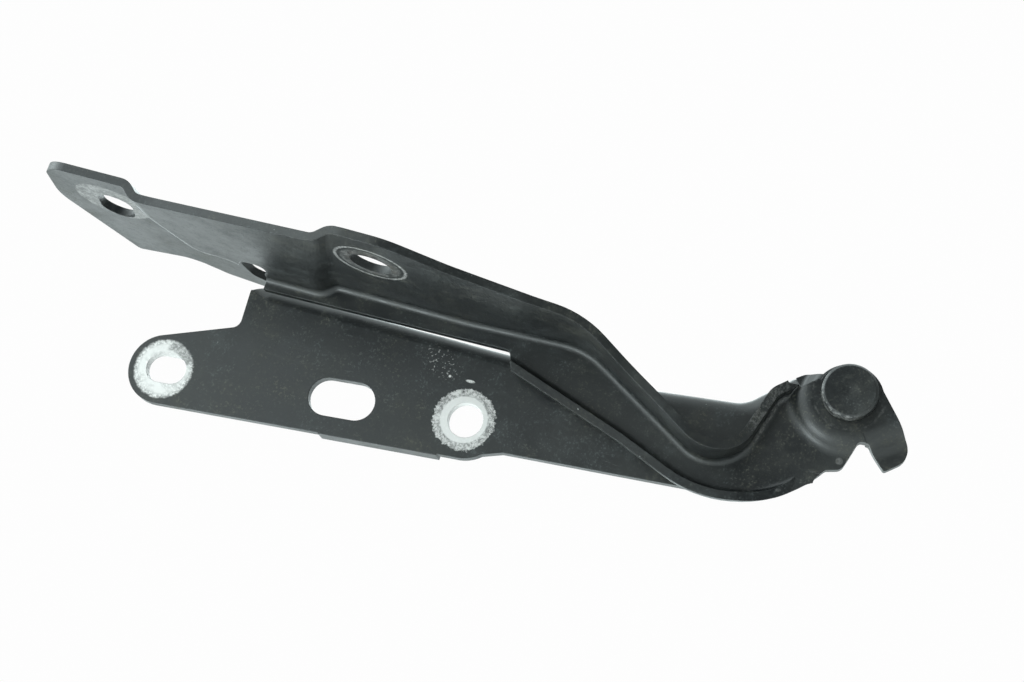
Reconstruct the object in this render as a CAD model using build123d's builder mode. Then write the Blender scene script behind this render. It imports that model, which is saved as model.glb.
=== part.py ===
"""Right-hand bonnet hinge: a pressed body bracket, a cranked bonnet arm and the pivot that joins them.

Frame, in millimetres: the origin is the centre of the round fixing hole on the face that lies against the
car body. X runs rearward along the car, Y outboard into the body, and Z up. The hinge is drawn closed.
"""

import os
from math import atan2, cos, radians, sin, tan

from build123d import *

os.makedirs("parts", exist_ok=True)

# Sheet thicknesses
BRACKET_SHEET = 3.0
ARM_SHEET = 2.5

# Depths in front of the body, measured along -Y from the mounting face
WEB_BACK = 4.0
WEB_FRONT = WEB_BACK + ARM_SHEET
JOGGLE = 3.0
PIVOT_FACE = BRACKET_SHEET + JOGGLE
EYE_BACK = WEB_BACK + JOGGLE
EYE_FRONT = WEB_FRONT + JOGGLE

# Pivot axis, parallel to Y
PIVOT = (104.3, 35.8)
SHOULDER_R = 4.0
NECK_R = 3.25
HEAD_R = 7.9
HEAD_TOP = 14.0
HEAD_EDGE = 0.7
DIMPLE_R = 2.5
DIMPLE_DEPTH = 0.15
RUNNING_FIT = 0.05
BUSH_R = 5.2
BUSH_FLANGE_R = 8.0
WASHER_R = 7.0
WASHER_THICKNESS = 0.8
TAIL_WASHER_R = 6.5
TAIL_WASHER_THICKNESS = 1.0
TAIL_R = 5.2
TAIL_HEIGHT = 1.5
HEAD_SEAT = EYE_FRONT + WASHER_THICKNESS + RUNNING_FIT
TAIL_SEAT = BRACKET_SHEET - TAIL_WASHER_THICKNESS

# Body bracket
FIXING_HOLE_R = 5.25
FIXING_PAD_R = 11.5
HOLE_LINE_TILT = 6.0
SLOT_CENTRE = (-93.2, -9.9)
SLOT_LENGTH = 12.6
SLOT_WIDTH = 9.0
LOBE_CENTRE = (-94.25, -10.3)
LOBE_R = 10.8
WINDOW_CENTRE = (-37.8, -4.1)
WINDOW_LENGTH = 20.5
WINDOW_WIDTH = 11.7
BRACKET_EYE_R = 10.0
BRACKET_BOSS_R = 13.5
BRACKET_FOOT_R = 2.0
BRACKET_RIM_R = 3.0
BRACKET_BEND_R = 5.0
TOP_EDGE = 23.6
TOP_RISE_START = (76.4, 28.1)
TOP_RISE_ANGLE = 44.4
TOP_RISE_LENGTH = 15.8
TOP_FLANGE_REACH = 8.0
TOP_STEP = 1.05
LOWER_LIP_REACH = 3.0
LOWER_LIP_SHEET = 2.8
LOWER_LIP_START = (-41.2, -16.05)
LOWER_LIP_END = (-5.0, -12.4)

# Bonnet arm
PAD_TOP = 30.7
RECESS_DEPTH = 3.4
RECESS_TAPER = 48.0
RECESS_END = -53.6
CREASE_R = 3.0
ARM_BEND_R = 4.5
FRONT_SLOT_CENTRE = (-115.95, -27.7)
FRONT_SLOT_LENGTH = 16.4
FRONT_SLOT_WIDTH = 10.7
FRONT_SLOT_TILT = 103.0
REAR_HOLE = (-32.3, -37.1)
REAR_HOLE_R = 6.25
PAD_ZONE_END = -30.0
PAD_ZONE_LINE = -12.5
WEB_START = -71.7
LIP_START = 9.6
LIP_EDGE = 10.0
CHANNEL_DEPTH = 60.0
ARM_EYE_R = 9.0
ARM_BOSS_R = 16.4
ARM_FOOT_R = 4.0
ARM_RIM_R = 6.0
TAB_ANGLE = -54.1
TAB_EDGE_ANGLE = -54.7
TAB_BEND_START = 13.2
TAB_BEND_END = 17.5
TAB_FRONT = 3.0
TAB_OFFSET = -0.6
TAB_WIDTH = 13.0
TAB_REACH = 28.0
TAB_BEND_R = 5.0
TAB_FOOT_R = 4.0
OPEN_ANGLE = 55.0
STOP_GAP_ANGLE = 1.0
STOP_ANGLE = TAB_EDGE_ANGLE - OPEN_ANGLE - STOP_GAP_ANGLE
STOP_INNER_R = 14.0
STOP_OUTER_R = 27.0


def from_pivot(radius, angle):
    """Point at this radius and angle from the pivot axis, in the plane of the plates."""
    return (PIVOT[0] + radius * cos(radians(angle)), PIVOT[1] + radius * sin(radians(angle)))


def on_rise(along, inward):
    """Point along the rising stretch of the bracket's top edge, and this far in from it."""
    angle = radians(TOP_RISE_ANGLE)
    x = TOP_RISE_START[0] + along * cos(angle) + inward * sin(angle)
    return (x, TOP_RISE_START[1] + along * sin(angle) - inward * cos(angle))


def depth_plane(depth):
    """Plane of the plates at this depth in front of the body: local x is X, local y is Z."""
    return Plane.XZ.offset(depth)


def turned(stations, radii=None):
    """Round piece about the pivot axis, from (radius, depth) stations of its half profile."""
    profile = Plane(origin=(PIVOT[0], 0, PIVOT[1]), x_dir=(1, 0, 0), z_dir=(0, 0, 1))
    corners = radii or [0] * len(stations)
    with BuildPart() as piece:
        with BuildSketch(profile):
            with BuildLine():
                FilletPolyline(*[(radius, -depth) for radius, depth in stations], radius=corners, close=True)
            make_face()
        revolve(axis=Axis((PIVOT[0], 0, PIVOT[1]), (0, 1, 0)))
    return piece.part


# Round a 45 degree press line the sheet keeps its thickness if its inner line lies this share of it inside
HALF_BEND = tan(radians(22.5))


def raised_disc(radius, base, low_depth, foot_r, rim_r):
    """Disc about the pivot axis whose rim climbs at 45 degrees between two bends, for a pressed boss."""
    skirt = radius + foot_r * HALF_BEND + 0.2
    stations = [
        (0, base),
        (skirt, base),
        (skirt, low_depth),
        (radius, low_depth),
        (radius - JOGGLE, low_depth + JOGGLE),
        (0, low_depth + JOGGLE),
    ]
    return turned(stations, [0, 0, 0, foot_r, rim_r, 0])


def pressed_boss(radius, back, sheet, foot_r, rim_r):
    """Boss pressed from this sheet, and the pocket that it leaves in the sheet, open to the back."""
    boss = raised_disc(radius, back + sheet / 2, back + sheet, foot_r, rim_r)
    pocket_r = radius - HALF_BEND * sheet
    return boss, raised_disc(pocket_r, -TOP_FLANGE_REACH - 1, back, foot_r + sheet, rim_r - sheet)


bracket_boss, bracket_pocket = pressed_boss(BRACKET_BOSS_R, 0, BRACKET_SHEET, BRACKET_FOOT_R, BRACKET_RIM_R)
arm_boss, arm_pocket = pressed_boss(ARM_BOSS_R, WEB_BACK, ARM_SHEET, ARM_FOOT_R, ARM_RIM_R)


# Body bracket: outline of the plate, seen from the engine side
with BuildSketch(Plane.XZ) as bracket_outline:
    with BuildLine():
        FilletPolyline(
            (-98.4, -0.35),
            (-76.0, 8.75),
            (-76.75, 20.9),
            (-73.4, TOP_EDGE),
            (40.0, TOP_EDGE),
            TOP_RISE_START,
            on_rise(TOP_RISE_LENGTH, 0),
            on_rise(TOP_RISE_LENGTH, TOP_STEP),
            (90.8, 40.2),
            from_pivot(BRACKET_EYE_R, 150),
            from_pivot(BRACKET_EYE_R, -45),
            from_pivot(STOP_INNER_R, -89),
            from_pivot(STOP_INNER_R, STOP_ANGLE),
            from_pivot(STOP_OUTER_R, STOP_ANGLE),
            (86.0, 2.0),
            (68.3, -1.2),
            (13.5, -6.3),
            (0.0, -FIXING_PAD_R),
            (-93.1, -21.05),
            LOBE_CENTRE,
            radius=[0, 3, 1.5, 1.5, 60, 10, 0, 0, 3, 0, 0, 1.5, 1.5, 3, 8, 20, 2, 0, 0, 0],
            close=True,
        )
    make_face()
    with Locations(LOBE_CENTRE):
        Circle(LOBE_R)
    with Locations(PIVOT):
        Circle(BRACKET_EYE_R)
    Circle(FIXING_PAD_R)

# Top edge alone, carried on past both ends of its bend
with BuildSketch(Plane.XZ) as bent_edge:
    with BuildLine():
        FilletPolyline(
            (-90.0, 0.0),
            (-90.0, TOP_EDGE),
            (40.0, TOP_EDGE),
            TOP_RISE_START,
            on_rise(2 * TOP_RISE_LENGTH, 0),
            (110.0, 0.0),
            radius=[0, 0, 60, 10, 0, 0],
            close=True,
        )
    make_face()

with BuildSketch(Plane.XZ) as bent_edge_core:
    offset(bent_edge.sketch, amount=-BRACKET_SHEET)

# Inside this zone the top edge is bent back over the body panel; its ends run out across the bend
with BuildSketch(Plane.XZ) as flange_zone:
    with BuildLine():
        Polyline(
            (-80.0, 22.0),
            (-68.6, 18.6),
            (-60.0, 14.0),
            (60.0, 14.0),
            on_rise(0, 6.8),
            on_rise(TOP_RISE_LENGTH, 6.8),
            on_rise(TOP_RISE_LENGTH, -5.0),
            (-80.0, 45.0),
            close=True,
        )
    make_face()


def flange_block(edge, front_depth, bend_radius):
    """Block under the top edge, from this depth back to the flange's rim, front corner rounded."""
    with BuildPart() as block:
        with BuildSketch(depth_plane(-TOP_FLANGE_REACH)):
            add(edge)
        extrude(amount=TOP_FLANGE_REACH + front_depth)
        front = block.faces().sort_by(Axis.Y)[0]
        fillet([e for e in front.edges() if e.center().Z > 20 and -80 < e.center().X < 95], bend_radius)
        with BuildSketch(depth_plane(-TOP_FLANGE_REACH)):
            add(flange_zone.sketch)
        extrude(amount=TOP_FLANGE_REACH + front_depth, mode=Mode.INTERSECT)
    return block.part


top_flange = flange_block(bent_edge.sketch, BRACKET_SHEET, BRACKET_BEND_R) - flange_block(
    bent_edge_core.sketch, 0, BRACKET_BEND_R - BRACKET_SHEET
)

with BuildPart() as body_bracket:
    with BuildSketch(Plane.XZ):
        add(bracket_outline.sketch)
        add(flange_zone.sketch, mode=Mode.SUBTRACT)
    extrude(amount=BRACKET_SHEET)
    add(top_flange)
    # Stiffening lip along the lower edge, between the two fixings
    with BuildSketch(depth_plane(-LOWER_LIP_REACH)):
        with BuildLine():
            Polyline(
                LOWER_LIP_START,
                LOWER_LIP_END,
                (LOWER_LIP_END[0], LOWER_LIP_END[1] + LOWER_LIP_SHEET),
                (LOWER_LIP_START[0], LOWER_LIP_START[1] + LOWER_LIP_SHEET),
                close=True,
            )
        make_face()
    extrude(amount=LOWER_LIP_REACH + BRACKET_SHEET)
    # Pivot eye pressed towards the engine bay, which leaves a pocket behind it for the rivet's tail
    add(bracket_boss)
    add(bracket_pocket, mode=Mode.SUBTRACT)
    with BuildSketch(depth_plane(-TOP_FLANGE_REACH)):
        add(bracket_outline.sketch)
        with BuildLine():
            Polyline(LOWER_LIP_START, LOWER_LIP_END, (0, 0), (LOWER_LIP_START[0], 0), close=True)
        make_face()
    extrude(amount=TOP_FLANGE_REACH + PIVOT_FACE, mode=Mode.INTERSECT)
    # Rivet hole and body fixings
    with BuildSketch(depth_plane(0)):
        with Locations(PIVOT):
            Circle(NECK_R)
        Circle(FIXING_HOLE_R)
        with Locations(Location(SLOT_CENTRE, HOLE_LINE_TILT)):
            SlotOverall(SLOT_LENGTH, SLOT_WIDTH)
        with Locations(Location(WINDOW_CENTRE, HOLE_LINE_TILT)):
            SlotOverall(WINDOW_LENGTH, WINDOW_WIDTH)
    extrude(amount=PIVOT_FACE, mode=Mode.SUBTRACT)

body_bracket.part.label = "body_bracket"
export_step(body_bracket.part, "parts/body_bracket.step")


# Recess between the two bonnet pads: its ramps turn down through this angle, with rounded creases
RAMP_ANGLE = 90 - RECESS_TAPER
HALF_RAMP = tan(radians(RAMP_ANGLE / 2))
RAMP_WIDTH = RECESS_DEPTH * tan(radians(RECESS_TAPER))
RECESS_TOP = PAD_TOP - RECESS_DEPTH
RECESS_UNDER = RECESS_TOP - ARM_SHEET
RAMP_FOOT = RECESS_END - ARM_SHEET * HALF_RAMP

# Bonnet arm: side profile of the channel between its top flange and its lower lip
with BuildSketch(Plane.XZ) as channel_profile:
    with BuildLine():
        FilletPolyline(
            (-150.0, RECESS_TOP),
            (RAMP_FOOT, RECESS_TOP),
            (RAMP_FOOT + RAMP_WIDTH, PAD_TOP),
            (-8.0, PAD_TOP),
            (29.0, 32.3),
            (75.8, 5.2),
            (83.2, 30.9),
            (105.0, 55.0),
            (140.0, 55.0),
            (140.0, 9.0),
            (101.0, 9.0),
            (82.0, -9.4),
            (45.0, 4.9),
            (6.0, 17.5),
            (-150.0, 17.5),
            radius=[0, CREASE_R, CREASE_R + ARM_SHEET, 100, 28, 9.5, 8, 0, 0, 0, 6, 36, 60, 0, 0],
            close=True,
        )
    make_face()


def channel_block(profile, back, bend_radius):
    """Channel profile run towards the engine bay, the edges of its back face rounded as the bends are."""
    with BuildPart() as block:
        with BuildSketch(depth_plane(back)):
            add(profile)
        extrude(amount=CHANNEL_DEPTH - back)
        rear = block.faces().sort_by(Axis.Y)[-1]
        ends = [e for e in rear.edges() if abs((e % 0.5).Z) > 0.99 or e.center().X > 105]
        fillet([e for e in rear.edges() if e not in ends], bend_radius)
    return block.part


with BuildSketch(Plane.XZ) as channel_core:
    offset(channel_profile.sketch, amount=-ARM_SHEET)

channel_outside = channel_block(channel_profile.sketch, WEB_BACK, ARM_BEND_R)
channel = channel_outside - channel_block(channel_core.sketch, WEB_FRONT, ARM_BEND_R - ARM_SHEET)
arm_boss = arm_boss & channel_outside

# Recess floor between the two bonnet pads, on the underside of the sheet
with BuildSketch(Plane.XY) as recess_floor:
    with BuildLine():
        FilletPolyline(
            (-104.5, -75.0),
            (-101.8, -35.0),
            (-93.5, -13.8),
            (-78.0, -13.8),
            (-75.0, 3.0),
            (RECESS_END, 3.0),
            (RECESS_END, -14.5),
            (-40.4, -75.0),
            radius=[8, 20, 7, 11, 6, 6, 10, 8],
            close=True,
        )
    make_face()

# Sheet of the two pads, drawn wide, with the recess pressed down between them
with BuildPart() as pad_sheet:
    with BuildSketch(Plane.XY.offset(RECESS_UNDER)):
        add(recess_floor.sketch)
    extrude(amount=RECESS_DEPTH + 0.5, taper=-RECESS_TAPER)
    fillet(pad_sheet.faces().sort_by(Axis.Z)[0].edges(), CREASE_R + ARM_SHEET)
    with Locations((-150, -90, PAD_TOP - ARM_SHEET)):
        Box(150, 130, ARM_SHEET, align=(Align.MIN, Align.MIN, Align.MIN))

with BuildPart() as recess_core:
    with BuildSketch(Plane.XY.offset(RECESS_TOP)):
        offset(recess_floor.sketch, amount=-ARM_SHEET * HALF_RAMP)
    extrude(amount=RECESS_DEPTH + 2, taper=-RECESS_TAPER)
    fillet(recess_core.faces().sort_by(Axis.Z)[0].edges(), CREASE_R)


def crease_edges(part, height):
    """Closed run of edges round the recess at this height, without the sheet's own outer edges."""
    return [e for e in part.edges().filter_by_position(Axis.Z, height - 0.01, height + 0.01)
            if -140 < e.center().X < -20 and -85 < e.center().Y < 30]


# The sheet beyond this zone belongs to the channel
with BuildSketch(Plane.XY.offset(-20)) as pad_zone:
    with BuildLine():
        Polyline(
            (-150, -CHANNEL_DEPTH),
            (PAD_ZONE_END, -CHANNEL_DEPTH),
            (PAD_ZONE_END, PAD_ZONE_LINE),
            (WEB_START, PAD_ZONE_LINE),
            (WEB_START, 30),
            (-150, 30),
            close=True,
        )
    make_face()

with pad_sheet:
    add(recess_core.part, mode=Mode.SUBTRACT)
    fillet(crease_edges(pad_sheet, PAD_TOP - ARM_SHEET), CREASE_R)
    fillet(crease_edges(pad_sheet, PAD_TOP), CREASE_R + ARM_SHEET)
    add(pad_zone.sketch)
    extrude(amount=100, mode=Mode.INTERSECT)

# Plan of the arm, seen from above
with BuildSketch(Plane.XY) as arm_plan:
    with BuildLine():
        FilletPolyline(
            (-132.3, -47.9),
            (-98.0, -48.2),
            (-38.0, -55.6),
            (-25.0, -55.3),
            (16.0, -35.8),
            (46.0, -25.6),
            (64.0, -25.0),
            (88.3, -EYE_FRONT - 0.1),
            (140.0, -EYE_FRONT - 0.1),
            (140.0, 4.0),
            (WEB_START, 4.0),
            (WEB_START, -9.8),
            (-70.4, -11.5),
            (-70.4, -17.5),
            (-78.0, -17.0),
            (-83.0, -2.5),
            (-81.6, 6.6),
            (-77.2, 10.0),
            (-77.2, 17.0),
            (-92.0, 13.0),
            (-102.0, 6.3),
            (-122.8, 11.6),
            (-136.1, -25.5),
            radius=[7.5, 40, 14, 20, 60, 30, 40, 8, 0, 0, 0, 0.5, 1, 3.2, 3.5, 5, 4, 0.5, 0, 8, 12, 1.5, 20],
            close=True,
        )
    make_face()

# Side view of the arm: web foot, start of the lip, heel, stop notch, stop tab and eye
with BuildSketch(Plane.XZ) as arm_side:
    with BuildLine():
        FilletPolyline(
            (-150.0, 60.0),
            (-150.0, 21.0),
            (WEB_START, 21.2),
            (6.6, 23.0),
            (LIP_START, 16.8),
            (LIP_START, -20.0),
            (101.0, -20.0),
            (101.0, 10.2),
            (103.3, 13.6),
            (107.5, 14.9),
            (110.1, 23.5),
            (113.0, 24.0),
            (118.9, 18.5),
            (126.0, 24.6),
            from_pivot(ARM_EYE_R, 37.3),
            PIVOT,
            (94.9, 38.1),
            (91.4, 35.0),
            (86.9, 34.3),
            (82.0, 60.0),
            radius=[0, 0, 0, 1.5, 1, 0, 0, 1.5, 1.5, 2.5, 1.5, 0.8, 0.8, 5, 0, 0, 0, 2, 1, 0],
            close=True,
        )
    make_face()
    with Locations(PIVOT):
        Circle(ARM_EYE_R)

# Stop tab: strip set back behind the web, so that its edge meets the bracket's stop face
tab_direction = Vector(cos(radians(TAB_ANGLE)), 0, sin(radians(TAB_ANGLE)))
tab_side = tab_direction.cross(Vector(0, -1, 0))
tab_plane = Plane(origin=(PIVOT[0], 0, PIVOT[1]), x_dir=tab_direction, z_dir=tab_side)
tab_slope = atan2(EYE_FRONT - TAB_FRONT, TAB_BEND_END - TAB_BEND_START)
bend_shift = ARM_SHEET * tan(tab_slope / 2)

with BuildPart() as stop_tab:
    with BuildSketch(tab_plane.offset(-TAB_WIDTH)):
        with BuildLine():
            FilletPolyline(
                (0, EYE_FRONT),
                (TAB_BEND_START, EYE_FRONT),
                (TAB_BEND_END, TAB_FRONT),
                (TAB_REACH, TAB_FRONT),
                (TAB_REACH, TAB_FRONT - ARM_SHEET),
                (TAB_BEND_END - bend_shift, TAB_FRONT - ARM_SHEET),
                (TAB_BEND_START - bend_shift, EYE_BACK),
                (0, EYE_BACK),
                radius=[0, TAB_BEND_R, TAB_FOOT_R, 0, 0, TAB_FOOT_R + ARM_SHEET, TAB_BEND_R - ARM_SHEET, 0],
                close=True,
            )
        make_face()
    extrude(amount=TAB_WIDTH - TAB_OFFSET)

with BuildPart() as bonnet_arm:
    add(channel)
    add(pad_zone.sketch)
    extrude(amount=100, mode=Mode.SUBTRACT)
    add(pad_sheet.part)
    # Pivot eye pressed towards the engine bay, to clear the raised eye of the bracket
    add(arm_boss)
    add(arm_pocket, mode=Mode.SUBTRACT)
    # Below the eye the web gives way to the tab
    with BuildSketch(tab_plane.offset(-TAB_WIDTH)):
        Rectangle(2 * TAB_REACH, CHANNEL_DEPTH, align=(Align.MIN, Align.MIN))
    extrude(amount=TAB_WIDTH - TAB_OFFSET, mode=Mode.SUBTRACT)
    add(stop_tab.part)
    # Lip trimmed to its depth, then the plan and the side outline
    with BuildSketch(depth_plane(LIP_EDGE)):
        with BuildLine():
            Polyline((0, 23), (40, 14), (66, 3), (84, 3), (100, 14), (110, -20), (0, -20), close=True)
        make_face()
    extrude(amount=CHANNEL_DEPTH, mode=Mode.SUBTRACT)
    with BuildSketch(Plane.XY.offset(-20)):
        with BuildLine():
            Polyline(
                (82, -LIP_EDGE - 1),
                (82, -LIP_EDGE),
                (96, -WEB_FRONT),
                (104, -WEB_FRONT),
                (104, -LIP_EDGE - 1),
                close=True,
            )
        make_face()
    extrude(amount=32, mode=Mode.SUBTRACT)
    with BuildSketch(Plane.XY.offset(-20)):
        add(arm_plan.sketch)
    extrude(amount=100, mode=Mode.INTERSECT)
    with BuildSketch(depth_plane(-20)):
        add(arm_side.sketch)
    extrude(amount=100, mode=Mode.INTERSECT)
    # Holes for the bonnet bolts and for the bush
    with BuildSketch(Plane.XY.offset(RECESS_UNDER)):
        with Locations(Location(FRONT_SLOT_CENTRE, FRONT_SLOT_TILT)):
            SlotOverall(FRONT_SLOT_LENGTH, FRONT_SLOT_WIDTH)
        with Locations(REAR_HOLE):
            Circle(REAR_HOLE_R)
    extrude(amount=10, mode=Mode.SUBTRACT)
    with BuildSketch(depth_plane(0)):
        with Locations(PIVOT):
            Circle(BUSH_R)
    extrude(amount=CHANNEL_DEPTH, mode=Mode.SUBTRACT)

bonnet_arm.part.label = "bonnet_arm"
export_step(bonnet_arm.part, "parts/bonnet_arm.step")

# Pivot rivet: head towards the engine bay, shoulder, neck through the bracket and formed tail
pivot_rivet = turned([
    (0, HEAD_TOP - DIMPLE_DEPTH),
    (DIMPLE_R, HEAD_TOP),
    (HEAD_R - HEAD_EDGE, HEAD_TOP),
    (HEAD_R, HEAD_TOP - HEAD_EDGE),
    (HEAD_R, HEAD_SEAT),
    (SHOULDER_R, HEAD_SEAT),
    (SHOULDER_R, PIVOT_FACE),
    (NECK_R, PIVOT_FACE),
    (NECK_R, TAIL_SEAT),
    (TAIL_R, TAIL_SEAT),
    (TAIL_R, TAIL_SEAT - 0.6 * TAIL_HEIGHT),
    (0.6 * TAIL_R, TAIL_SEAT - TAIL_HEIGHT),
    (0, TAIL_SEAT - TAIL_HEIGHT),
])
pivot_rivet.label = "pivot_rivet"
export_step(pivot_rivet, "parts/pivot_rivet.step")

# Flanged bush: its sleeve fills the arm's hole and its flange spaces the arm from the bracket
pivot_bush = turned([
    (SHOULDER_R + RUNNING_FIT, PIVOT_FACE + RUNNING_FIT),
    (BUSH_FLANGE_R, PIVOT_FACE + RUNNING_FIT),
    (BUSH_FLANGE_R, EYE_BACK),
    (BUSH_R, EYE_BACK),
    (BUSH_R, EYE_FRONT),
    (SHOULDER_R + RUNNING_FIT, EYE_FRONT),
])
pivot_bush.label = "pivot_bush"
export_step(pivot_bush, "parts/pivot_bush.step")

# Thrust washer between the arm and the rivet head
head_washer = turned([
    (SHOULDER_R + RUNNING_FIT, EYE_FRONT),
    (WASHER_R, EYE_FRONT),
    (WASHER_R, EYE_FRONT + WASHER_THICKNESS),
    (SHOULDER_R + RUNNING_FIT, EYE_FRONT + WASHER_THICKNESS),
])
head_washer.label = "head_washer"
export_step(head_washer, "parts/head_washer.step")

# Tail washer under the formed end of the rivet, down in the pocket behind the bracket's eye
tail_washer = turned([
    (NECK_R, BRACKET_SHEET),
    (TAIL_WASHER_R, BRACKET_SHEET),
    (TAIL_WASHER_R, TAIL_SEAT),
    (NECK_R, TAIL_SEAT),
])
tail_washer.label = "tail_washer"
export_step(tail_washer, "parts/tail_washer.step")
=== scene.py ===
"""Looks of the bonnet hinge: coated sheet steel with worn clamp marks, a riveted pivot and soft studio light.

Lengths are in metres and the places of marks in millimetres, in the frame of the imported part: X rearward,
Y outboard into the body, Z up, with the origin at the round fixing hole.
"""

import math

import bpy
from mathutils import Matrix, Vector

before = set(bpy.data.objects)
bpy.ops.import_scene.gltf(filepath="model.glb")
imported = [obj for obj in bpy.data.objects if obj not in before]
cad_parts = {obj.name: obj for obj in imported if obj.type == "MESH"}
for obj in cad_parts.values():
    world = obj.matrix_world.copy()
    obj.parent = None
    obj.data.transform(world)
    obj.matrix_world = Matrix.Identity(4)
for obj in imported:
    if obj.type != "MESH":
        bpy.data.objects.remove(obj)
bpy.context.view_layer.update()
MM = 0.001


# Node graphs

class Graph:
    """Node tree of one material or world, built from short calls that return output sockets."""

    def __init__(self, owner):
        owner.use_nodes = True
        self.tree = owner.node_tree
        self.tree.nodes.clear()

    def node(self, kind, inputs=None, out=0, **settings):
        made = self.tree.nodes.new(kind)
        for name, value in settings.items():
            setattr(made, name, value)
        for name, value in (inputs or {}).items():
            if isinstance(value, bpy.types.NodeSocket):
                self.tree.links.new(value, made.inputs[name])
            else:
                made.inputs[name].default_value = value
        return made.outputs[out]

    def math(self, operation, a, b=0.0, clamp=False):
        return self.node("ShaderNodeMath", {0: a, 1: b}, operation=operation, use_clamp=clamp)

    def add(self, a, b):
        return self.math("ADD", a, b)

    def minus(self, a, b):
        return self.math("SUBTRACT", a, b)

    def times(self, a, b):
        return self.math("MULTIPLY", a, b)

    def most(self, a, b):
        return self.math("MAXIMUM", a, b)

    def ramp(self, value, low, high):
        """Smooth step: 0 up to low, 1 from high on; low may lie above high."""
        inputs = {"Value": value, "From Min": low, "From Max": high}
        if low > high:
            inputs = {"Value": value, "From Min": high, "From Max": low, "To Min": 1.0, "To Max": 0.0}
        return self.node("ShaderNodeMapRange", inputs, interpolation_type="SMOOTHSTEP")

    def noise(self, where, scale, detail=3.0, rough=0.55, offset=(0, 0, 0), stretch=(1, 1, 1)):
        moved = self.node("ShaderNodeMapping", {"Vector": where, "Location": offset, "Scale": stretch})
        inputs = {"Vector": moved, "Scale": scale, "Detail": detail, "Roughness": rough}
        return self.node("ShaderNodeTexNoise", inputs)

    def mix(self, factor, a, b):
        """Colour between a and b."""
        return self.node("ShaderNodeMix", {0: factor, 6: a, 7: b}, out=2, data_type="RGBA")

    def blend(self, factor, a, b):
        """Number between a and b."""
        return self.node("ShaderNodeMix", {"Factor": factor, "A": a, "B": b})

    def bump(self, strength, depth, height, under):
        """Normal with a relief of the given depth in millimetres on top of the normal under it."""
        inputs = {"Strength": strength, "Distance": depth * MM, "Height": height}
        if under is not None:
            inputs["Normal"] = under
        return self.node("ShaderNodeBump", inputs)

    def finish(self, shader, kind="ShaderNodeOutputMaterial"):
        output = self.tree.nodes.new(kind)
        self.tree.links.new(shader, output.inputs["Surface"])


def rgb(red, green, blue):
    return (red, green, blue, 1.0)


# Noise patterns on the part: cells per metre, detail, roughness, offset, and stretch where it isn't even
PATTERNS = {
    "broad": (28.0, 4.0, 0.55),
    "drifts": (46.0, 3.0, 0.60, (0.8, 0.3, 0.6)),
    "streaks": (90.0, 4.0, 0.65, (0.5, 0.2, 0.1), (0.35, 1.0, 3.0)),
    "medium": (160.0, 5.0, 0.62, (0.3, 0.1, 0.7)),
    "tarnish": (220.0, 4.0, 0.60),
    "zinc_clouds": (240.0, 4.0, 0.60, (0.2, 0.5, 0.9)),
    "rub_gaps": (300.0, 3.0, 0.60),
    "scratches": (300.0, 2.0, 0.50, (0.1, 0.7, 0.3), (0.12, 1.0, 6.0)),
    "rubbed": (380.0, 5.0, 0.75),
    "zinc_patches": (420.0, 5.0, 0.75, (0.7, 0.3, 0.5)),
    "edge_wear": (520.0, 4.0, 0.70, (0.9, 0.0, 0.0)),
    "rust": (520.0, 4.0, 0.70),
    "mottle": (620.0, 3.0, 0.60, (0.4, 0.9, 0.2)),
    "chips": (640.0, 1.0, 0.50, (0.2, 0.8, 0.4)),
    # breaks up the painted highlight on the rivet head
    "head_highlight_noise": (700.0, 4.0, 0.70),
    "torn": (900.0, 3.0, 0.70, (0.1, 0.4, 0.9)),
    "flange_wear": (900.0, 4.0, 0.75, (0.5, 0.5, 0.1)),
    "specks": (1300.0, 2.0, 0.60, (0.3, 0.2, 0.8)),
    "turning": (1400.0, 4.0, 0.65),
    "fine": (1500.0, 2.0, 0.60),
    "zinc_grain": (1500.0, 3.0, 0.70, (0.6, 0.6, 0.2)),
}


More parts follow.
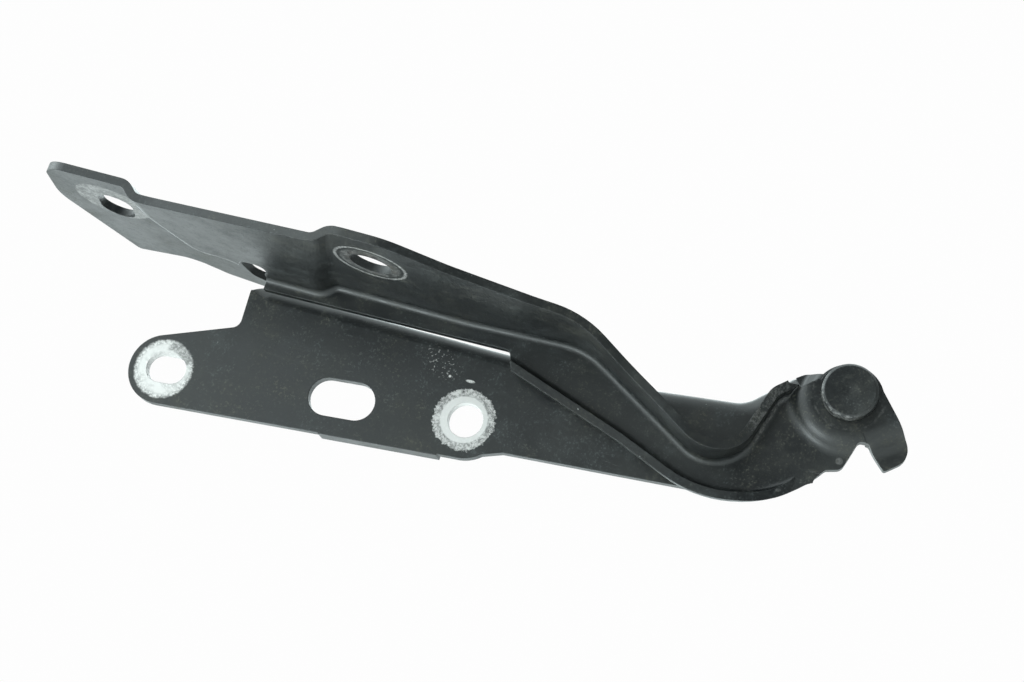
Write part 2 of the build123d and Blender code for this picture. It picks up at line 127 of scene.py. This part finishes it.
class Place:
    """Where a shaded point lies on its own part, in millimetres, and which way it faces."""

    def __init__(self, graph):
        self.graph = graph
        self.metres = graph.node("ShaderNodeTexCoord", out="Object")
        scaled = graph.node("ShaderNodeVectorMath", {0: self.metres, "Scale": 1 / MM}, operation="SCALE")
        split = graph.node("ShaderNodeSeparateXYZ", {"Vector": scaled}).node
        self.x, self.y, self.z = split.outputs
        normal = graph.node("ShaderNodeTexCoord", out="Normal")
        facing = graph.node("ShaderNodeSeparateXYZ", {"Vector": normal}).node
        self.facing_x, self.facing_y, self.facing_z = facing.outputs

    def pattern(self, name):
        return self.graph.noise(self.metres, *PATTERNS[name])

    def distance(self, u, v, centre, turn=0.0, stretch=1.0):
        """Distance in the plane of u and v from a centre, turned by degrees, with the second axis stretched."""
        g = self.graph
        du = g.minus(u, centre[0])
        dv = g.minus(v, centre[1])
        if turn:
            cosine, sine = math.cos(math.radians(turn)), math.sin(math.radians(turn))
            along = g.add(g.times(du, cosine), g.times(dv, sine))
            across = g.add(g.times(du, -sine), g.times(dv, cosine))
            du, dv = along, across
        if stretch != 1.0:
            dv = g.times(dv, stretch)
        return g.math("SQRT", g.add(g.times(du, du), g.times(dv, dv)))

    def across(self, centre, turn=0.0, stretch=1.0):
        """Distance from a centre in X and Z, seen from the side of the car."""
        return self.distance(self.x, self.z, centre, turn, stretch)

    def spokes(self, centre, drift=0.06):
        """Vector in X and Z that changes round a centre and hardly along its radius, for radial grain."""
        g = self.graph
        reach = self.across(centre)
        return g.node("ShaderNodeCombineXYZ", {
            "X": g.math("DIVIDE", g.minus(self.x, centre[0]), reach),
            "Y": g.math("DIVIDE", g.minus(self.z, centre[1]), reach),
            "Z": g.times(reach, drift),
        })

    def rounded(self, radius):
        """Normal of the sheet with its sharp edges rounded, and 1 on such an edge, 0 on flat sheet."""
        flat, sharp = 0.995, 0.86
        g = self.graph
        plain = g.node("ShaderNodeNewGeometry", out="Normal")
        normal = g.node("ShaderNodeBevel", {"Radius": radius}, samples=6)
        likeness = g.node("ShaderNodeVectorMath", {0: normal, 1: plain}, out="Value", operation="DOT_PRODUCT")
        return normal, g.ramp(likeness, flat, sharp)

    def tear(self, ragged):
        """Even noise round zero, as wide as ragged, that tears the rim of a mark."""
        return self.graph.times(self.graph.minus(self.pattern("torn"), 0.5), ragged)

    def spoke_tear(self, centre, ragged):
        """Radial noise round zero, as wide as ragged."""
        g = self.graph
        torn = g.noise(self.spokes(centre), 7.0, 3.0, 0.7)
        return g.times(g.minus(torn, 0.5), ragged)


# Coat and the metal under it

COAT_DARK = rgb(0.0040, 0.0050, 0.0055)
COAT_LIGHT = rgb(0.0095, 0.0105, 0.0100)
DUST = rgb(0.072, 0.082, 0.082)
EARTH = rgb(0.084, 0.081, 0.058)
# pale and grey zinc of the bolt marks, also the colour of the painted highlight on the rivet head
PALE_ZINC_AND_HIGHLIGHT = rgb(0.545, 0.530, 0.515)
GREY_ZINC_AND_HIGHLIGHT = rgb(0.215, 0.212, 0.205)
RUST = rgb(0.155, 0.085, 0.050)
EDGE_METAL = rgb(0.070, 0.082, 0.078)
CHIP = rgb(0.22, 0.23, 0.22)

# Most dust that each pattern leaves
CLOUD_DUST = 0.16
STREAK_DUST = 0.09
GRAIN_DUST = 0.34
MOTTLE_DUST = 0.08

COAT_ROUGHNESS = 0.25
UNEVEN_ROUGHNESS = 0.10
DUSTY_ROUGHNESS = 0.5
ZINC_ROUGHNESS = 0.50
EDGE_WEAR = 0.45
CHIP_COVER = 0.8
SHEET_EDGE = 0.35
RIVET_EDGE = 0.5
COAT_IOR = 1.5


def coated_sheet(name, marks, edge_radius=SHEET_EDGE):
    """Black dip coat on pressed steel: orange peel, dust, edge wear, chips, and the marks it is given.

    marks returns how bare, how pale and how rusty the metal is in its marks; on the rivet head the bare metal
    is a painted highlight.
    """
    material = bpy.data.materials.new(name)
    g = Graph(material)
    at = Place(g)
    broad, medium, mottle, fine = (at.pattern(kind) for kind in ("broad", "medium", "mottle", "fine"))

    clouds = g.times(g.ramp(medium, 0.45, 0.75), g.ramp(broad, 0.30, 0.70))
    streaks = g.ramp(at.pattern("streaks"), 0.52, 0.80)
    grains = g.times(g.ramp(fine, 0.56, 0.66), g.times(g.ramp(medium, 0.38, 0.62), GRAIN_DUST))
    film = g.add(g.times(clouds, CLOUD_DUST), g.times(streaks, STREAK_DUST))
    film = g.add(film, grains)
    film = g.add(film, g.times(g.ramp(mottle, 0.56, 0.68), MOTTLE_DUST))
    coat = g.mix(g.ramp(broad, 0.35, 0.68), COAT_DARK, COAT_LIGHT)
    settled = g.mix(g.ramp(at.pattern("drifts"), 0.42, 0.60), DUST, EARTH)
    colour = g.mix(film, coat, settled)

    rough = g.add(COAT_ROUGHNESS, g.times(medium, UNEVEN_ROUGHNESS))
    rough = g.add(rough, g.times(mottle, UNEVEN_ROUGHNESS))
    rough = g.add(rough, g.times(g.ramp(broad, 0.40, 0.62), UNEVEN_ROUGHNESS))
    rough = g.add(rough, g.times(film, DUSTY_ROUGHNESS))

    soft, edge = at.rounded(edge_radius * MM)
    wear = g.times(edge, g.ramp(at.pattern("edge_wear"), 0.50, 0.64))
    colour = g.mix(g.times(wear, EDGE_WEAR), colour, EDGE_METAL)
    chips = g.times(g.ramp(at.pattern("chips"), 0.795, 0.815), g.ramp(broad, 0.48, 0.56))
    colour = g.mix(g.times(chips, CHIP_COVER), colour, CHIP)

    bare, pale, rusty = marks(g, at)
    grain = at.pattern("zinc_grain")
    zinc_and_highlight = g.mix(g.most(pale, g.ramp(grain, 0.38, 0.62)), GREY_ZINC_AND_HIGHLIGHT, PALE_ZINC_AND_HIGHLIGHT)
    zinc_and_highlight = g.mix(rusty, zinc_and_highlight, RUST)
    colour = g.mix(bare, colour, zinc_and_highlight)
    rough = g.blend(bare, rough, ZINC_ROUGHNESS)

    normal = g.bump(0.20, 0.03, fine, soft)
    normal = g.bump(0.35, 0.25, medium, normal)
    normal = g.bump(0.50, 0.05, g.times(bare, grain), normal)
    g.finish(g.node("ShaderNodeBsdfPrincipled", {
        "Base Color": colour, "Roughness": rough, "Normal": normal, "IOR": COAT_IOR,
    }))
    return material


def ring(g, distance, torn, radius, inner=None, soft=0.25):
    """Mark inside an outer rim, and outside an inner one where given, both moved by the torn noise."""
    moved = g.add(distance, torn)
    mark = g.ramp(moved, radius + soft, radius - soft)
    if inner is not None:
        mark = g.times(mark, g.ramp(moved, inner - soft, inner + soft))
    return mark


def blot(g, at, centre, radius, turn=0.0, stretch=1.0):
    """Small mark in X and Z: a disc, or an ellipse where stretched."""
    return g.ramp(at.across(centre, turn, stretch), radius + 0.2, radius - 0.2)


# Marks of the body bolts, on the bracket in X and Z: bare zinc out to the radius, palest inside the band, and
# the middle of an arc of painted shade in the slot's mark
SLOT_MARK = {"centre": (-94.0, -10.2), "radius": 9.1, "band": 8.2, "hole": 4.6}
HOLE_MARK = {"centre": (-0.5, 0.0), "radius": 9.3, "band": 7.3, "hole": 5.25}
SLOT_PAINTED_SHADE = (-90.5, -4.6)

# Chips and scratches of the bracket, in X and Z
LONG_CHIP = (-2.3, 11.6)
ROUND_CHIP = (-8.7, 11.5)
SPECKLED = (-12.5, 15.0)
SCRATCHED = (44.0, -2.0)

# Marks of the bonnet bolts, under the arm's pads in X and Y; the rear one is a thin outline and an inner ring
FRONT_MARK = {"centre": (-116.2, -31.0), "radius": 11.3}
REAR_MARK = {"centre": (-32.4, -38.0), "radius": 11.0, "outline": 0.9, "inner": (9.0, 6.0), "rust": 9.4}

# Marks of the arm and the rivet, in X and Z; a ring has an outer and an inner radius; the rivet's ring is a
# painted highlight on the rim of its head
PIVOT = (104.3, 35.8)
EYE_RING = (10.5, 9.9)
HEAD_HIGHLIGHT_RING = (8.3, 7.4)
PUNCH = (106.4, 17.1)
HEEL_CHIP = (92.4, 4.2)
# Wear on the end of the flange: where it fades in and out along X, and in along Z
FLANGE_WORN = {"from_x": (78.0, 80.0), "to_x": (88.5, 87.0), "from_z": (15.0, 18.0)}

# How much of the metal shows in each mark; the painted shade takes that much off again, and the rust covers
# that much
BARE = {
    "painted_shade": 0.35,
    "granular": 0.85,
    "specks": 0.5,
    "scratches": 0.35,
    "smudge": 0.30,
    "film": 0.08,
    "outline": 0.40,
    "inner": 0.22,
    "rust": 0.8,
    "chips": 0.12,
    "eye_ring": 0.07,
    "flange": 0.13,
    # painted highlight on the rim of the rivet head
    "head_highlight": 0.22,
}


def pressed_on(g, mark, distance, front):
    """The face that the bolt head presses on, and the wall of its hole."""
    return g.most(front, g.ramp(distance, mark["hole"] + 1.6, mark["hole"] + 1.2))


def slot_mark(g, at, front):
    """How bare and how pale: smooth clouded zinc with an arc of painted shade at its upper right."""
    mark = SLOT_MARK
    distance = at.across(mark["centre"])
    torn = g.add(at.tear(0.7), at.spoke_tear(mark["centre"], 1.2))
    disc = ring(g, distance, torn, mark["radius"], soft=0.45)
    # painted shade: an arc at the upper right that takes away some of the bare and pale zinc
    painted_shade = g.times(g.ramp(at.across(SLOT_PAINTED_SHADE), 5.2, 3.6), g.ramp(distance, 5.6, 6.6))
    bare = g.times(disc, pressed_on(g, mark, distance, front))
    bare = g.times(bare, g.minus(1.0, g.times(painted_shade, BARE["painted_shade"])))
    inside = g.ramp(distance, mark["band"] + 0.6, mark["band"] - 0.9)
    smooth = g.math("SUBTRACT", inside, g.times(painted_shade, 0.75), clamp=True)
    clouds = g.ramp(at.pattern("zinc_clouds"), 0.35, 0.60)
    return bare, g.times(smooth, g.add(0.45, g.times(clouds, 0.5)))


def hole_mark(g, at, front):
    """How bare and how pale: a smooth bright band at the hole, then a granular and ragged one."""
    mark = HOLE_MARK
    distance = at.across(mark["centre"])
    torn = g.add(at.tear(2.0), at.spoke_tear(mark["centre"], 2.4))
    disc = ring(g, distance, torn, mark["radius"], soft=0.2)
    spokes = g.noise(at.spokes(mark["centre"], 0.5), 9.0, 4.0, 0.75)
    patches = g.ramp(at.pattern("zinc_patches"), 0.36, 0.50)
    granular = g.times(g.most(patches, g.ramp(spokes, 0.40, 0.56)), BARE["granular"])
    disc = g.times(disc, g.most(g.ramp(distance, mark["band"] + 0.2, mark["band"] - 0.3), granular))
    bare = g.times(disc, pressed_on(g, mark, distance, front))
    return bare, g.times(g.ramp(distance, mark["band"] + 0.1, mark["band"] - 0.5), 0.9)


def bracket_marks(g, at):
    """Bare zinc under the two body bolts, on the side that the bolt heads press on, chips and scratches."""
    front = g.times(g.ramp(at.facing_y, -0.2, -0.5), g.ramp(at.y, 0.5, 0.0))
    slot_bare, slot_pale = slot_mark(g, at, front)
    hole_bare, hole_pale = hole_mark(g, at, front)

    chips = g.most(blot(g, at, LONG_CHIP, 1.4, turn=3.0, stretch=3.2), blot(g, at, ROUND_CHIP, 0.35))
    specks = g.times(g.ramp(at.pattern("specks"), 0.60, 0.65),
                     g.ramp(at.across(SPECKLED, turn=-25.0, stretch=1.6), 9.0, 3.0))
    scratches = g.times(g.ramp(at.pattern("scratches"), 0.66, 0.70),
                        g.ramp(at.across(SCRATCHED, stretch=2.5), 14.0, 7.0))
    worn = g.most(g.times(specks, BARE["specks"]), g.times(scratches, BARE["scratches"]))
    bare = g.most(g.most(slot_bare, hole_bare), g.times(g.most(chips, worn), front))
    return bare, g.most(slot_pale, hole_pale), 0.0


def pad_prints(g, at):
    """How bare and how rusty: prints of the washers round the two bonnet holes, under the pads."""
    under = g.ramp(at.facing_z, -0.5, -0.8)
    front = at.distance(at.x, at.y, FRONT_MARK["centre"])
    rear = at.distance(at.x, at.y, REAR_MARK["centre"])
    radius, (inner_from, inner_to) = REAR_MARK["radius"], REAR_MARK["inner"]
    rubbed = g.ramp(at.pattern("rubbed"), 0.34, 0.66)
    smudge = g.times(ring(g, front, at.tear(2.2), FRONT_MARK["radius"]),
                     g.add(BARE["film"], g.times(rubbed, BARE["smudge"])))
    outline = g.times(ring(g, rear, at.tear(0.7), radius, radius - REAR_MARK["outline"]), BARE["outline"])
    inner = g.times(ring(g, rear, at.tear(1.4), inner_from, inner_to), g.times(rubbed, BARE["inner"]))
    prints = g.times(g.most(smudge, g.most(outline, inner)), under)
    rusty = g.times(g.ramp(rear, REAR_MARK["rust"], inner_to), g.ramp(at.pattern("rust"), 0.44, 0.60))
    return prints, g.times(rusty, BARE["rust"])


def arm_marks(g, at):
    """Washer prints under the pads, wear round the rivet head and on the end of the flange, and chips."""
    prints, rusty = pad_prints(g, at)
    outer = g.ramp(at.facing_y, -0.3, -0.6)
    worn = ring(g, at.across(PIVOT), at.spoke_tear(PIVOT, 2.0), *EYE_RING, 0.2)
    worn = g.times(worn, g.ramp(at.pattern("rub_gaps"), 0.40, 0.60))
    flange = g.times(g.ramp(at.x, *FLANGE_WORN["from_x"]), g.ramp(at.x, *FLANGE_WORN["to_x"]))
    flange = g.times(flange, g.times(g.ramp(at.facing_x, 0.3, 0.45), g.ramp(at.z, *FLANGE_WORN["from_z"])))
    flange = g.times(flange, g.ramp(at.pattern("flange_wear"), 0.44, 0.58))
    chips = g.most(blot(g, at, PUNCH, 1.0), blot(g, at, HEEL_CHIP, 0.8, 20.0, 1.8))
    wear = g.most(g.times(worn, BARE["eye_ring"]), g.times(flange, BARE["flange"]))
    wear = g.most(g.times(chips, BARE["chips"]), wear)
    return g.most(prints, g.times(wear, outer)), 0.0, rusty


def rivet_painted_highlight(g, at):
    """Painted highlight on the lower front rim of the head, broken up by noise."""
    highlight_noise = g.ramp(at.pattern("head_highlight_noise"), 0.40, 0.60)
    middle = PIVOT[0] + PIVOT[1]
    # the lower front side of the head, where the painted highlight lies
    lit_side = g.ramp(g.add(at.x, at.z), middle - 1.0, middle - 6.0)
    rim = ring(g, at.across(PIVOT), 0.0, *HEAD_HIGHLIGHT_RING, 0.15)
    return g.times(g.times(rim, g.times(highlight_noise, lit_side)), BARE["head_highlight"]), 0.0, 0.0


def round_metal(name, pale, dark, roughness):
    """Turned or plated small part, with a fine grain and a film of grime."""
    material = bpy.data.materials.new(name)
    g = Graph(material)
    at = Place(g)
    grain = at.pattern("turning")
    colour = g.mix(g.ramp(at.pattern("tarnish"), 0.38, 0.66), pale, dark)
    rough = g.add(roughness, g.times(grain, 0.22))
    normal = g.bump(0.3, 0.04, grain, None)
    g.finish(g.node("ShaderNodeBsdfPrincipled", {
        "Base Color": colour, "Roughness": rough, "Metallic": 1.0, "Normal": normal,
    }))
    return material


def dress(node, material):
    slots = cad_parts[node].data.materials
    slots.clear()
    slots.append(material)


dress("body_bracket", coated_sheet("coated_bracket", bracket_marks))
dress("bonnet_arm", coated_sheet("coated_arm", arm_marks))
# the rivet's marks are a painted highlight on the rim of its head
dress("pivot_rivet", coated_sheet("coated_rivet", rivet_painted_highlight, RIVET_EDGE))
plated = round_metal("plated_washer", rgb(0.52, 0.54, 0.54), rgb(0.22, 0.22, 0.20), 0.30)
dress("head_washer", plated)
dress("tail_washer", plated)
dress("pivot_bush", round_metal("bush_bronze", rgb(0.45, 0.28, 0.12), rgb(0.16, 0.10, 0.06), 0.34))


# Stage: a wide pale floor far below, because the part is held up by its fixing hole

FLOOR_HEIGHT = -0.45
FLOOR_RADIUS = 12.0
FLOOR_SIDES = 96
FLOOR_SHADES = (rgb(0.80, 0.80, 0.795), rgb(0.84, 0.84, 0.835))

corners = [2 * math.pi * i / FLOOR_SIDES for i in range(FLOOR_SIDES)]
rim = [(FLOOR_RADIUS * math.cos(angle), FLOOR_RADIUS * math.sin(angle), FLOOR_HEIGHT) for angle in corners]
floor_mesh = bpy.data.meshes.new("floor")
floor_mesh.from_pydata(rim, [], [list(range(FLOOR_SIDES))])
floor = bpy.data.objects.new("floor", floor_mesh)
bpy.context.scene.collection.objects.link(floor)
floor_paint = bpy.data.materials.new("pale_floor")
g = Graph(floor_paint)
cloud = g.noise(g.node("ShaderNodeTexCoord", out="Object"), 2.0)
tone = g.mix(cloud, *FLOOR_SHADES)
g.finish(g.node("ShaderNodeBsdfPrincipled", {"Base Color": tone, "Roughness": 0.75}))
floor_mesh.materials.append(floor_paint)


# World: white backdrop for the camera; for the light, a dim dome with broad soft glows

BACKDROP = rgb(0.985, 0.985, 0.985)
DOME = rgb(0.094, 0.100, 0.100)
COOL = (0.86, 0.97, 0.98)
GLOW_SHARPNESS = 8.0
# Direction and strength of each glow
GLOWS = [
    ((-0.86, -0.35, 0.37), 5.6),
    ((-0.30, 0.93, 0.20), 5.0),
    ((0.05, 0.55, 0.83), 2.8),
    ((-0.50, -0.30, 0.80), 1.4),
    ((0.85, -0.31, 0.43), 0.5),
]

world = bpy.data.worlds.new("studio")
bpy.context.scene.world = world
g = Graph(world)
direction = g.node("ShaderNodeTexCoord", out="Generated")
glow = 0.0
for towards, strength in GLOWS:
    inputs = {0: direction, 1: Vector(towards).normalized()}
    nearness = g.node("ShaderNodeVectorMath", inputs, out="Value", operation="DOT_PRODUCT")
    lobe = g.math("EXPONENT", g.times(g.minus(nearness, 1.0), GLOW_SHARPNESS))
    glow = g.add(glow, g.times(lobe, strength))
dome = g.node("ShaderNodeBackground", {"Color": DOME, "Strength": 1.0})
glows = g.node("ShaderNodeBackground", {"Color": rgb(*COOL), "Strength": glow})
light = g.node("ShaderNodeAddShader", {0: dome, 1: glows})
seen = g.node("ShaderNodeBackground", {"Color": BACKDROP, "Strength": 1.0})
from_camera = g.node("ShaderNodeLightPath", out="Is Camera Ray")
g.finish(g.node("ShaderNodeMixShader", {0: from_camera, 1: light, 2: seen}), "ShaderNodeOutputWorld")


# Lights: soft panels round the part, unseen by the camera

# Name, place, target, width and power of each panel
PANELS = [
    ("left", (-0.64, -0.03, -0.11), (0, 0, 0), 0.66, 3.3),
    ("front", (-0.33, -0.75, 0.15), (0, 0, 0), 0.35, 0.55),
    ("low_front", (-0.20, -0.44, -0.38), (-0.05, 0, 0), 0.26, 2.0),
    ("low_left", (-0.30, -0.30, -0.30), (0, 0, 0), 0.30, 0.27),
    ("low_back", (0.10, 0.30, -0.40), (0, 0, 0), 0.30, 0.75),
]

for name, place, target, width, power in PANELS:
    panel = bpy.data.lights.new(name, "AREA")
    panel.shape = "DISK"
    panel.size = width
    panel.energy = power
    panel.color = COOL
    lamp = bpy.data.objects.new(name, panel)
    lamp.location = place
    lamp.rotation_euler = (Vector(target) - Vector(place)).to_track_quat("-Z", "Y").to_euler()
    lamp.visible_camera = False
    bpy.context.scene.collection.objects.link(lamp)


# Camera, at the photograph's viewpoint

CAMERA_AT = (0.1117, -0.4768, -0.1038)
CAMERA_RIGHT = Vector((0.94331, 0.12638, 0.30697))
CAMERA_AHEAD = Vector((-0.21083, 0.94235, 0.25988))
LENS = 59.766
SENSOR = 36.0

camera = bpy.data.objects.new("camera", bpy.data.cameras.new("camera"))
back = -CAMERA_AHEAD.normalized()
right = (CAMERA_RIGHT - back * CAMERA_RIGHT.dot(back)).normalized()
up = back.cross(right)
turn = Matrix((right, up, back)).transposed().to_4x4()
camera.matrix_world = Matrix.Translation(CAMERA_AT) @ turn
camera.data.lens = LENS
camera.data.sensor_width = SENSOR
camera.data.sensor_fit = "HORIZONTAL"
bpy.context.scene.collection.objects.link(camera)
bpy.context.scene.camera = camera
bpy.context.scene.view_settings.view_transform = "Standard"
